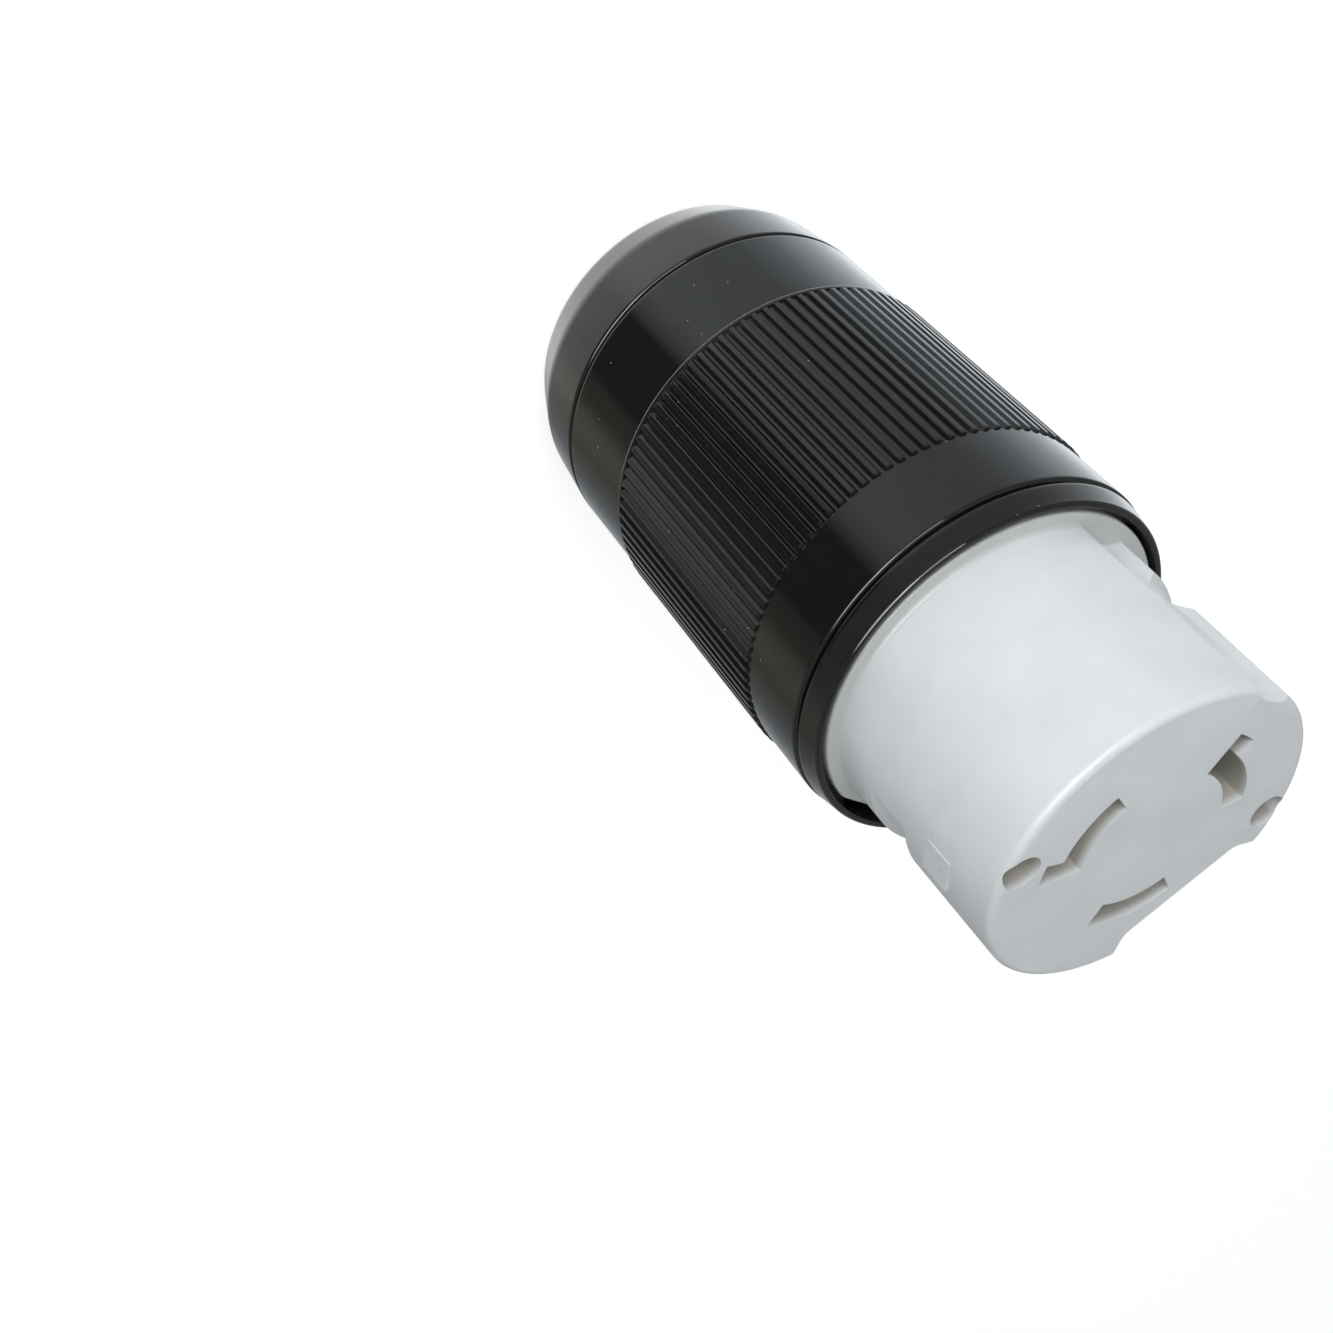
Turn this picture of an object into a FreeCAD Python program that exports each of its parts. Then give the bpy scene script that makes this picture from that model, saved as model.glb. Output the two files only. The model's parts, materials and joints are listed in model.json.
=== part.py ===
import FreeCAD, Part
import math
import os
from types import SimpleNamespace

import Sketcher

os.makedirs("parts", exist_ok=True)
doc = FreeCAD.newDocument("LockingConnector")

# Sizes in millimetres and degrees. A setback is the distance behind the contact face, a height
# the distance above the rear end, and an inset the distance inside the surface before it.
sizes = {
    "overall_length": 131.5,
    # nose
    "nose_radius": 25.7,
    "nose_draft": 0.3,
    "rim_round": 1.2,
    "face_thickness": 6.0,
    "flange_overhang": 2.45,
    "flange_setback": 35.2,
    "flange_thickness": 6.0,
    "flange_fillet": 1.4,
    "flange_flat_azimuth": 244.0,
    "flange_flat_cut": 1.65,
    # curved slots
    "slot_radius": 13.7,
    "slot_width": 4.0,
    "slot_span": 54.0,
    "slot_line_1_azimuth": 165.0,
    "slot_line_2_azimuth": 43.0,
    "slot_neutral_azimuth": 284.0,
    "slot_leg_span": 12.3,
    "slot_leg_depth": 2.9,
    "chamber_margin": 0.5,
    "chamber_turn": 3.0,
    # earth recess
    "recess_depth": 7.2,
    "recess_azimuth": -45.0,
    "recess_half_width": 9.87,
    "recess_corner": 3.0,
    # bayonet channels and lugs
    "channel_azimuth": 70.0,
    "channel_width": 9.0,
    "channel_depth": 1.6,
    "turn_span": 47.0,
    "turn_setback": 23.3,
    "turn_width": 8.0,
    "turn_floor": 4.0,
    "turn_depth": 1.6,
    "lug_azimuth": 195.0,
    "lug_span": 17.0,
    "lug_setback": 9.0,
    "lug_length": 5.6,
    "lug_rise": 1.3,
    # assembly screws
    "screw_inset": 3.0,
    "screw_well_radius": 2.8,
    "screw_well_depth": 30.0,
    "screw_radius": 1.75,
    "screw_head_radius": 2.6,
    "screw_head_height": 2.6,
    "screw_end_gap": 2.0,
    # housing
    "lip_setback": 34.9,
    "mouth_gap": 0.75,
    "lip_wall": 1.2,
    "lip_flare": 0.6,
    "band_wall": 2.1,
    "rear_band_inset": 0.1,
    "shoulder_width": 1.3,
    "groove_width": 0.7,
    "groove_depth": 0.5,
    "front_groove_setback": 39.3,
    "rear_groove_height": 19.2,
    "rib_setback": 52.3,
    "rib_end_height": 38.2,
    "rib_count": 96,
    "rib_rise": 0.4,
    "rib_valley": 0.3,
    "rib_tip_width": 0.55,
    "rib_valley_width": 0.6,
    "bevel_length": 7.4,
    "bevel_inset": 1.15,
    "tail_inset": 4.0,
    "end_wall": 5.0,
    "cord_hole_radius": 15.0,
    "boss_radius": 4.0,
    "boss_gap": 11.8,
    "boss_sink": 1.6,
    # terminal carrier
    "carrier_gap": 0.8,
    "carrier_length": 25.0,
    "carrier_front_wall": 5.0,
    "arm_gap": 0.7,
    "arm_width": 4.3,
    "arm_thickness": 5.0,
    # contacts
    "leaf_thickness": 0.9,
    "leaf_gap": 2.4,
    "leaf_setback": 14.0,
    "contact_span": 42.0,
    "tab_width": 5.0,
    "tab_step": 0.2,
    # terminals
    "terminal_line_1_azimuth": 156.0,
    "terminal_line_2_azimuth": 43.0,
    "terminal_neutral_azimuth": 268.0,
    "terminal_width": 11.0,
    "terminal_height": 12.0,
    "terminal_thickness": 10.4,
    "wire_hole_radius": 3.2,
    "wire_hole_wall": 1.1,
    "terminal_screw_radius": 3.0,
    "terminal_screw_inset": 0.5,
    # earth spring and terminal
    "spring_thickness": 0.8,
    "spring_width": 10.0,
    "spring_bow": 2.2,
    "spring_start": 4.0,
    "spring_foot": 2.5,
    "earth_width": 8.0,
    "earth_thickness": 8.2,
    "earth_wire_radius": 2.7,
    "earth_screw_radius": 2.0,
    "earth_head_radius": 3.6,
    "earth_head_height": 2.2,
    # cord clamp
    "clamp_height": 21.5,
    "clamp_length": 12.0,
    "clamp_travel": 3.0,
    "clamp_bore_radius": 13.5,
    "clamp_inset": 4.3,
    "clamp_screw_inset": 4.8,
    "clamp_screw_radius": 2.0,
    "clamp_head_radius": 3.2,
    "clamp_head_height": 2.6,
    "clamp_seat": 9.5,
    "clamp_eye_inset": 0.7,
    "clamp_nut_width": 6.4,
    "clamp_nut_height": 3.0,
    "clamp_tooth_depth": 0.9,
    "clamp_tooth_width": 1.3,
    "clamp_tooth_count": 3,
    # driver slots in the screws
    "driver_slot_width": 0.9,
    "driver_slot_depth": 1.2,
    # clearances
    "slide_clearance": 0.25,
    "thread_clearance": 0.05,
    "seat_clearance": 0.15,
}


def makeSheet():
    """Puts every size in a cell with its name as the alias."""
    sheet = doc.addObject("Spreadsheet::Sheet", "Sizes")
    for row, (name, value) in enumerate(sizes.items(), start=1):
        sheet.set(f"A{row}", name)
        sheet.set(f"B{row}", str(value))
        sheet.setAlias(f"B{row}", name)
    doc.recompute()
    return sheet


sheet = makeSheet()
v = SimpleNamespace(**{name: float(sheet.get(name)) for name in sizes})

# Heights above the rear end
faceHeight = v.overall_length
flangeFront = faceHeight - v.flange_setback
flangeRear = flangeFront - v.flange_thickness
carrierRear = flangeRear - v.carrier_length
lipHeight = faceHeight - v.lip_setback
frontGroove = faceHeight - v.front_groove_setback
ribTop = faceHeight - v.rib_setback
clampTop = v.clamp_height + v.clamp_length / 2
clampBottom = v.clamp_height - v.clamp_length / 2
terminalTop = flangeRear - v.carrier_front_wall - v.seat_clearance
terminalBottom = terminalTop - v.terminal_height
screwSeat = faceHeight - v.screw_well_depth - v.screw_head_height
bossLength = carrierRear - clampTop - v.boss_gap
screwGrip = bossLength - v.screw_end_gap

# Radii and offsets, from the nose outwards to the barrel and back in to the clamp
flangeRadius = v.nose_radius + v.flange_overhang
mouthRadius = flangeRadius + v.mouth_gap
lipRadius = mouthRadius + v.lip_wall
lipRearRadius = lipRadius + v.lip_flare
bandRadius = mouthRadius + v.band_wall
rearBandRadius = bandRadius - v.rear_band_inset
bevelRadius = rearBandRadius - v.bevel_inset
tailRadius = rearBandRadius - v.tail_inset
housingBore = mouthRadius - v.shoulder_width
carrierRadius = housingBore - v.carrier_gap
screwOffset = v.nose_radius - v.screw_inset
clampOuter = housingBore - v.clamp_inset
clampScrewOffset = clampOuter - v.clamp_screw_inset
eyeOuter = clampOuter - v.clamp_eye_inset
armInner = v.clamp_bore_radius + v.arm_gap
slotInner = v.slot_radius - v.slot_width / 2
slotOuter = v.slot_radius + v.slot_width / 2
innerLeaf = v.slot_radius - v.leaf_gap / 2 - v.leaf_thickness
outerLeaf = v.slot_radius + v.leaf_gap / 2 + v.leaf_thickness
tabInner = innerLeaf + v.tab_step
terminalInner = tabInner + v.leaf_thickness + v.thread_clearance
terminalScrewSeat = terminalInner + v.wire_hole_wall + 2 * v.wire_hole_radius
recessFloor = v.nose_radius - v.recess_depth
earthOuter = recessFloor - v.thread_clearance
earthInner = earthOuter - v.earth_thickness
springOuter = recessFloor + v.spring_thickness

slotAzimuths = {
    "line_1": v.slot_line_1_azimuth,
    "line_2": v.slot_line_2_azimuth,
    "neutral": v.slot_neutral_azimuth,
}
terminalAzimuths = {
    "line_1": v.terminal_line_1_azimuth,
    "line_2": v.terminal_line_2_azimuth,
    "neutral": v.terminal_neutral_azimuth,
}


def vec(x, y, z=0.0):
    return FreeCAD.Vector(x, y, z)


screwCentres = [vec(screwOffset, 0), vec(-screwOffset, 0)]


def polar(radius, azimuth):
    angle = math.radians(azimuth)
    return vec(radius * math.cos(angle), radius * math.sin(angle))


def makeBody(name):
    body = doc.addObject("PartDesign::Body", name)
    body.Label = name
    return body


def originPlane(body, role):
    return next(item for item in body.Origin.OriginFeatures if item.Role == role)


def makeSketch(body, role, azimuth=0.0, height=0.0):
    """A sketch on an origin plane, turned about the part's axis or lifted along it."""
    sketch = body.newObject("Sketcher::SketchObject", body.Name + "_sketch")
    sketch.AttachmentSupport = [(originPlane(body, role), "")]
    sketch.MapMode = "FlatFace"
    if role == "XY_Plane":
        sketch.AttachmentOffset = FreeCAD.Placement(vec(0, 0, height), FreeCAD.Rotation())
    else:
        turn = FreeCAD.Rotation(vec(0, 1, 0), azimuth)
        sketch.AttachmentOffset = FreeCAD.Placement(vec(0, 0, 0), turn)
    return sketch


def addLoop(sketch, points):
    """A closed outline. A point is (x, y), or a pair of them where an arc goes through the first."""
    start = points[-1][-1] if isinstance(points[-1][0], tuple) else points[-1]
    for point in points:
        if isinstance(point[0], tuple):
            through, end = point
            sketch.addGeometry(Part.Arc(vec(*start), vec(*through), vec(*end)))
        else:
            end = point
            sketch.addGeometry(Part.LineSegment(vec(*start), vec(*end)))
        start = end


def addCircle(sketch, centre, radius, expression=None):
    index = sketch.addGeometry(Part.Circle(centre, vec(0, 0, 1), radius))
    if expression:
        constraint = sketch.addConstraint(Sketcher.Constraint("Radius", index, radius))
        sketch.setExpression(f"Constraints[{constraint}]", expression)


def addBox(sketch, centre, azimuth, depth, width):
    """A rectangle whose depth lies along the azimuth."""
    along, across = polar(1, azimuth), polar(1, azimuth + 90)
    corners = ((-0.5, -0.5), (0.5, -0.5), (0.5, 0.5), (-0.5, 0.5))
    points = [centre + along * (depth * a) + across * (width * b) for a, b in corners]
    addLoop(sketch, [tuple(point)[:2] for point in points])


def feature(body, kind, sketch, **settings):
    """Adds a feature made from a sketch to a body."""
    made = body.newObject("PartDesign::" + kind, f"{body.Name}_{kind}")
    made.Profile = sketch
    for name, value in settings.items():
        setattr(made, name, value)
    sketch.Visibility = False
    body.Tip = made
    return made


def pad(body, sketch, length, expression=None, down=False):
    made = feature(body, "Pad", sketch, Length=length, Reversed=down)
    if expression:
        made.setExpression("Length", expression)
    return made


def pocket(body, sketch, depth, up=False, expression=None):
    """Cuts downward from the sketch's height, or upward."""
    made = feature(body, "Pocket", sketch, Length=depth, Reversed=up)
    if expression:
        made.setExpression("Length", expression)
    return made


def spin(body, kind, sketch, angle=360.0, midplane=False):
    made = feature(body, kind, sketch, Angle=angle, Midplane=midplane)
    made.ReferenceAxis = (sketch, ["V_Axis"])
    return made


def cutRadial(body, height, depth, azimuth, near, far, width):
    """A rectangular cut downward, from one distance off the part's axis to another."""
    outline = makeSketch(body, "XY_Plane", height=height)
    addBox(outline, polar((near + far) / 2, azimuth), azimuth, far - near, width)
    return pocket(body, outline, depth)


def cutHoles(body, height, depth, radius, centres, expression=None):
    """Round holes downward from a height."""
    outline = makeSketch(body, "XY_Plane", height=height)
    for centre in centres:
        addCircle(outline, centre, radius, expression)
    return pocket(body, outline, depth)


def ribOutline():
    """The corners of the ribbed band: a flat tip, a slope and a flat valley on each rib."""
    pitch = 360 / v.rib_count
    tip = bandRadius + v.rib_rise
    valley = bandRadius - v.rib_valley
    tipTurn = math.degrees(v.rib_tip_width / 2 / tip)
    valleyTurn = math.degrees(v.rib_valley_width / 2 / valley)
    corners = ((tip, -tipTurn), (tip, tipTurn),
               (valley, pitch / 2 - valleyTurn), (valley, pitch / 2 + valleyTurn))
    return [tuple(polar(radius, rib * pitch + turn))[:2]
            for rib in range(int(v.rib_count)) for radius, turn in corners]


def makeHousing():
    """The barrel: a lip round the mouth, a V groove behind it, and the ribbed band."""
    body = makeBody("housing")
    profile = makeSketch(body, "XZ_Plane")
    underRibs = (housingBore + bandRadius - v.rib_valley) / 2
    chamfer = v.mouth_gap / 2
    half = v.groove_width / 2
    addLoop(profile, [
        (mouthRadius, lipHeight),
        (lipRadius - chamfer, lipHeight),
        (lipRadius, lipHeight - chamfer),
        (lipRearRadius, frontGroove + half),
        (bandRadius - v.groove_depth, frontGroove),
        (bandRadius, frontGroove - half),
        (bandRadius, ribTop),
        (underRibs, ribTop),
        (underRibs, v.rib_end_height),
        (rearBandRadius, v.rib_end_height),
        (rearBandRadius, v.rear_groove_height + half),
        (rearBandRadius - v.groove_depth, v.rear_groove_height),
        (housingBore, v.rear_groove_height),
        (housingBore, flangeRear),
        (mouthRadius, flangeRear),
    ])
    spin(body, "Revolution", profile)

    ribs = makeSketch(body, "XY_Plane", height=v.rib_end_height)
    addLoop(ribs, ribOutline())
    addCircle(ribs, vec(0, 0), housingBore)
    pad(body, ribs, ribTop - v.rib_end_height,
        "Sizes.overall_length - Sizes.rib_setback - Sizes.rib_end_height")

    bosses = makeSketch(body, "XY_Plane", height=carrierRear)
    reach = housingBore + v.boss_sink
    for side in (1, -1):
        bottom, top = vec(side * screwOffset, -v.boss_radius), vec(side * screwOffset, v.boss_radius)
        tip = vec(side * (screwOffset - v.boss_radius), 0)
        outer = math.sqrt(reach ** 2 - v.boss_radius ** 2)
        addLoop(bosses, [
            (side * outer, -v.boss_radius),
            tuple(bottom)[:2],
            (tuple(tip)[:2], tuple(top)[:2]),
            (side * outer, v.boss_radius),
        ])
    pad(body, bosses, bossLength, down=True)

    cutHoles(body, carrierRear, screwGrip + v.seat_clearance,
             v.screw_radius + v.thread_clearance, screwCentres)
    return body


def makeHousingTail():
    """The bevelled rear piece round the cord hole, which meets the barrel in the rear groove."""
    body = makeBody("housing_tail")
    profile = makeSketch(body, "XZ_Plane")
    addLoop(profile, [
        (rearBandRadius - v.groove_depth, v.rear_groove_height),
        (rearBandRadius, v.rear_groove_height - v.groove_width / 2),
        (bevelRadius, v.bevel_length),
        (tailRadius, 0),
        (v.cord_hole_radius, 0),
        (v.cord_hole_radius, v.end_wall),
        (housingBore, v.end_wall),
        (housingBore, v.rear_groove_height),
    ])
    spin(body, "Revolution", profile)
    return body


def slotOutline(name, margin=0.0, turn=0.0):
    """A curved slot, on the line poles with a leg outwards at its end, grown by a margin."""
    azimuth = slotAzimuths[name]
    inner, outer, leg = slotInner - margin, slotOuter + margin, slotOuter + v.slot_leg_depth
    low = azimuth - v.slot_span / 2 - turn
    high = azimuth + v.slot_span / 2 + turn
    legLow = high - v.slot_leg_span - turn

    def at(radius, angle):
        return tuple(polar(radius, angle))[:2]

    outline = [at(outer, low)]
    if name == "neutral":
        outline += [(at(outer, azimuth), at(outer, high))]
    else:
        outline += [
            (at(outer, (low + legLow) / 2), at(outer, legLow)),
            at(leg, legLow),
            (at(leg, (legLow + high) / 2), at(leg, high)),
        ]
    return outline + [at(inner, high), (at(inner, azimuth), at(inner, low))]


def addSlots(body):
    """Three curved slots through the face, and a wider chamber behind each."""
    slots = makeSketch(body, "XY_Plane", height=faceHeight)
    chambers = makeSketch(body, "XY_Plane", height=flangeRear)
    for name in slotAzimuths:
        addLoop(slots, slotOutline(name))
        addLoop(chambers, slotOutline(name, v.chamber_margin, v.chamber_turn))
    pocket(body, slots, v.face_thickness + v.seat_clearance)
    pocket(body, chambers, faceHeight - v.face_thickness - flangeRear, up=True)


def addEarthRecess(body):
    """The corner cut out of the nose's rim, and the slit in the flange for the spring's tail."""
    recess = makeSketch(body, "XY_Plane", height=faceHeight)
    along, across = polar(1, v.recess_azimuth), polar(1, v.recess_azimuth + 90)
    floor = along * recessFloor
    slope = polar(1, v.recess_azimuth + 45)
    otherSlope = polar(1, v.recess_azimuth - 45)
    corner = v.recess_corner * math.tan(math.radians(22.5))
    right = floor + across * v.recess_half_width
    left = floor - across * v.recess_half_width
    bend = v.recess_corner * (1 - math.cos(math.radians(22.5)))
    nearBend = bend / math.cos(math.radians(22.5))
    rightMiddle = right - (across - slope).normalize() * nearBend
    leftMiddle = left - (across * -1 - otherSlope).normalize() * nearBend
    reach = 2 * v.nose_radius
    addLoop(recess, [
        tuple(right - across * corner)[:2],
        (tuple(rightMiddle)[:2], tuple(right + slope * corner)[:2]),
        tuple(right + slope * reach)[:2],
        tuple(left + otherSlope * reach)[:2],
        tuple(left + otherSlope * corner)[:2],
        (tuple(leftMiddle)[:2], tuple(left + across * corner)[:2]),
    ])
    pocket(body, recess, v.flange_setback, expression="Sizes.flange_setback")

    cutRadial(body, flangeFront, v.flange_thickness, v.recess_azimuth,
              recessFloor - v.thread_clearance, springOuter + v.thread_clearance,
              v.spring_width + 2 * v.slide_clearance)


def addBayonet(body):
    """Two J-shaped channels, half a turn apart, and the two wedge lugs."""
    chord = v.nose_radius - math.sqrt(v.nose_radius ** 2 - (v.channel_width / 2) ** 2)
    sagitta = v.channel_depth - chord
    cutter = ((v.channel_width / 2) ** 2 + sagitta ** 2) / (2 * sagitta)
    channels = makeSketch(body, "XY_Plane", height=faceHeight)
    for turn in (0, 180):
        centre = polar(v.nose_radius - v.channel_depth + cutter, v.channel_azimuth + turn)
        addCircle(channels, centre, cutter)
    pocket(body, channels, v.flange_setback, expression="Sizes.flange_setback")

    middle = v.channel_azimuth - v.turn_span / 2
    height = faceHeight - v.turn_setback
    floor, beyond = v.nose_radius - v.turn_depth, v.nose_radius + v.turn_depth
    for turn in (0, 180):
        section = makeSketch(body, "XZ_Plane", azimuth=middle + turn)
        addLoop(section, [
            (floor, height - v.turn_floor / 2),
            (beyond, height - v.turn_width + v.turn_floor / 2),
            (beyond, height + v.turn_width - v.turn_floor / 2),
            (floor, height + v.turn_floor / 2),
        ])
        spin(body, "Groove", section, v.turn_span, midplane=True)

    lugs = makeSketch(body, "XY_Plane", height=faceHeight - v.lug_setback)
    for turn in (0, 180):
        start, end = v.lug_azimuth + turn, v.lug_azimuth + v.lug_span + turn
        root = v.nose_radius - v.lug_rise
        points = (polar(root, start), polar(v.nose_radius, start),
                  polar(v.nose_radius + v.lug_rise, end), polar(root, end))
        addLoop(lugs, [tuple(point)[:2] for point in points])
    pad(body, lugs, v.lug_length, "Sizes.lug_length", down=True)


def makeContactBody():
    """The white nose. Its rim and the foot of its wall are rounded in two steps."""
    body = makeBody("contact_body")
    profile = makeSketch(body, "XZ_Plane")
    r, rim, fillet = v.nose_radius, v.rim_round, v.flange_fillet
    root = r + v.nose_draft
    lean = 1 - math.sqrt(0.5)
    addLoop(profile, [
        (0, faceHeight),
        (r - rim, faceHeight),
        (r - rim * lean, faceHeight - rim * lean),
        (r, faceHeight - rim),
        (root, flangeFront + fillet),
        (root + fillet * lean, flangeFront + fillet * lean),
        (root + fillet, flangeFront),
        (flangeRadius, flangeFront),
        (flangeRadius, flangeRear),
        (0, flangeRear),
    ])
    spin(body, "Revolution", profile)
    addBayonet(body)
    addSlots(body)
    addEarthRecess(body)

    cutHoles(body, faceHeight, faceHeight - screwSeat, v.screw_well_radius, screwCentres,
             "Sizes.screw_well_radius")
    cutHoles(body, screwSeat, screwSeat - flangeRear, v.screw_radius + v.slide_clearance, screwCentres)
    cutRadial(body, flangeFront + v.flange_fillet, v.flange_thickness + v.flange_fillet,
              v.flange_flat_azimuth, flangeRadius - v.flange_flat_cut, mouthRadius, 2 * mouthRadius)
    return body


def makeCarrier():
    body = makeBody("terminal_carrier")
    disc = makeSketch(body, "XY_Plane", height=carrierRear)
    addCircle(disc, vec(0, 0), carrierRadius)
    pad(body, disc, v.carrier_length, "Sizes.carrier_length")

    gap, slide = v.thread_clearance, v.slide_clearance
    rim = housingBore
    top = terminalTop + v.seat_clearance
    height = v.terminal_height + 2 * v.seat_clearance
    wireRadius = terminalInner + v.wire_hole_wall + v.wire_hole_radius
    wires = []
    for azimuth in terminalAzimuths.values():
        cutRadial(body, top, height, azimuth, tabInner - gap, rim, v.terminal_width + 2 * v.seat_clearance)
        cutRadial(body, flangeRear, v.carrier_front_wall, azimuth, tabInner - gap,
                  tabInner + v.leaf_thickness + gap, v.tab_width + 2 * slide)
        wires.append(polar(wireRadius, azimuth))
    cutHoles(body, terminalBottom, terminalBottom - carrierRear, v.wire_hole_radius + slide, wires)

    azimuth, springWidth = v.recess_azimuth, v.spring_width + 2 * slide
    strip = recessFloor - gap
    cutRadial(body, top, height, azimuth, earthInner - gap, rim, v.earth_width + 2 * v.seat_clearance)
    cutRadial(body, top, height, azimuth, strip, rim, springWidth)
    cutRadial(body, flangeRear, v.carrier_front_wall, azimuth, strip, springOuter + gap, springWidth)
    earthWire = polar(earthInner + v.wire_hole_wall + v.earth_wire_radius, azimuth)
    cutHoles(body, terminalBottom, terminalBottom - carrierRear, v.earth_wire_radius + slide, [earthWire])
    cutHoles(body, flangeRear, v.carrier_length, v.screw_radius + slide, screwCentres)

    arms = makeSketch(body, "XY_Plane", height=carrierRear)
    eyes = makeSketch(body, "XY_Plane", height=clampTop)
    eyeWidth = eyeOuter - armInner
    for side in (1, -1):
        addBox(arms, vec(side * (armInner + v.arm_width / 2), 0), 0, v.arm_width, v.arm_thickness)
        addBox(eyes, vec(side * (armInner + eyeWidth / 2), 0), 0, eyeWidth, v.arm_thickness)
    pad(body, arms, carrierRear - clampBottom, down=True)
    pad(body, eyes, v.clamp_length, "Sizes.clamp_length", down=True)

    bores = makeSketch(body, "XZ_Plane")
    for side in (1, -1):
        addCircle(bores, vec(side * clampScrewOffset, v.clamp_height),
                  v.clamp_screw_radius + v.slide_clearance)
    feature(body, "Pocket", bores, Type="ThroughAll", Midplane=True)
    return body


def makeContact(name):
    """Two curved leaves joined by a web, with a flat tab for the terminal."""
    body = makeBody("contact_" + name)
    azimuth = slotAzimuths[name]
    profile = makeSketch(body, "XZ_Plane", azimuth=azimuth)
    tip = faceHeight - v.leaf_setback
    web = flangeRear + v.seat_clearance
    wall = v.leaf_thickness
    addLoop(profile, [
        (innerLeaf, web),
        (outerLeaf, web),
        (outerLeaf, tip),
        (outerLeaf - wall, tip - wall),
        (outerLeaf - wall, web + wall),
        (innerLeaf + wall, web + wall),
        (innerLeaf + wall, tip - wall),
        (innerLeaf, tip),
    ])
    spin(body, "Revolution", profile, v.contact_span, midplane=True)
    tab = makeSketch(body, "XY_Plane", height=web + wall)
    turned = terminalAzimuths[name]
    addBox(tab, polar(tabInner + wall / 2, turned), turned, wall, v.tab_width)
    pad(body, tab, web + wall - terminalBottom, down=True)
    return body


def makeTerminal(name):
    """A brass box with a wire hole along the part's axis and a screw hole across it."""
    body = makeBody("terminal_" + name)
    block = makeSketch(body, "XY_Plane", height=terminalBottom)
    depth = v.terminal_thickness
    addBox(block, vec(terminalInner + depth / 2, 0), 0, depth, v.terminal_width)
    pad(body, block, v.terminal_height, "Sizes.terminal_height")
    wire = makeSketch(body, "XY_Plane", height=terminalTop)
    addCircle(wire, vec(terminalInner + v.wire_hole_wall + v.wire_hole_radius, 0),
              v.wire_hole_radius, "Sizes.wire_hole_radius")
    pocket(body, wire, v.terminal_height, expression="Sizes.terminal_height")
    thread = makeSketch(body, "YZ_Plane")
    thread.AttachmentOffset = FreeCAD.Placement(
        vec(0, 0, terminalInner + depth), FreeCAD.Rotation())
    addCircle(thread, vec(0, terminalBottom + v.terminal_height / 2),
              v.terminal_screw_radius + v.thread_clearance)
    pocket(body, thread, depth - v.wire_hole_wall - v.wire_hole_radius)
    turnAbout(body, f"Sizes.terminal_{name}_azimuth")
    return body


def turnAbout(body, expression):
    """Turns a piece modelled towards +X about the part's axis."""
    body.Placement = FreeCAD.Placement(vec(0, 0, 0), FreeCAD.Rotation(vec(0, 0, 1), 0))
    body.setExpression("Placement.Rotation.Angle", expression)


def makeScrew(name, shank, length, headRadius=0.0, headHeight=0.0):
    """A slotted screw whose head, if any, stands up from z = 0 and whose shank hangs down."""
    body = makeBody(name)
    profile = makeSketch(body, "XZ_Plane")
    head = [(0, headHeight), (headRadius, headHeight), (headRadius, 0)] if headHeight else [(0, 0)]
    addLoop(profile, head + [(shank, 0), (shank, -length), (0, -length)])
    spin(body, "Revolution", profile)
    slot = makeSketch(body, "XY_Plane", height=headHeight)
    across = 2 * (max(headRadius, shank) + v.driver_slot_width)
    addBox(slot, vec(0, 0), 0, across, v.driver_slot_width)
    pocket(body, slot, v.driver_slot_depth, expression="Sizes.driver_slot_depth")
    return body


def place(body, position, direction):
    """Puts a screw's head at a point, with its head facing along the direction."""
    turn = FreeCAD.Rotation(vec(0, 0, 1), direction)
    body.Placement = FreeCAD.Placement(position, turn)


def makeTerminalScrew(name):
    top = carrierRadius - v.terminal_screw_inset
    body = makeScrew("terminal_screw_" + name, v.terminal_screw_radius, top - terminalScrewSeat)
    azimuth = terminalAzimuths[name]
    height = vec(0, 0, terminalBottom + v.terminal_height / 2)
    place(body, polar(top, azimuth) + height, polar(1, azimuth))
    return body


def makeEarthSpring():
    """A strip that lies on the recess's floor, bows outwards and ends on the earth terminal."""
    body = makeBody("earth_spring")
    profile = makeSketch(body, "XZ_Plane")
    low, high = recessFloor, springOuter
    top = faceHeight - v.spring_start
    foot = top - v.spring_foot
    bend = flangeFront + v.spring_foot
    middle = (foot + bend) / 2
    addLoop(profile, [
        (low, terminalBottom),
        (low, bend),
        ((low + v.spring_bow, middle), (low, foot)),
        (low, top),
        (high, top),
        (high, foot),
        ((high + v.spring_bow, middle), (high, bend)),
        (high, terminalBottom),
    ])
    feature(body, "Pad", profile, Length=v.spring_width, Midplane=True)
    hole = makeSketch(body, "YZ_Plane")
    hole.AttachmentOffset = FreeCAD.Placement(vec(0, 0, high), FreeCAD.Rotation())
    addCircle(hole, vec(0, terminalBottom + v.terminal_height / 2),
              v.earth_screw_radius + v.slide_clearance)
    pocket(body, hole, v.spring_thickness, expression="Sizes.spring_thickness")
    turnAbout(body, "Sizes.recess_azimuth")
    return body


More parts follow.
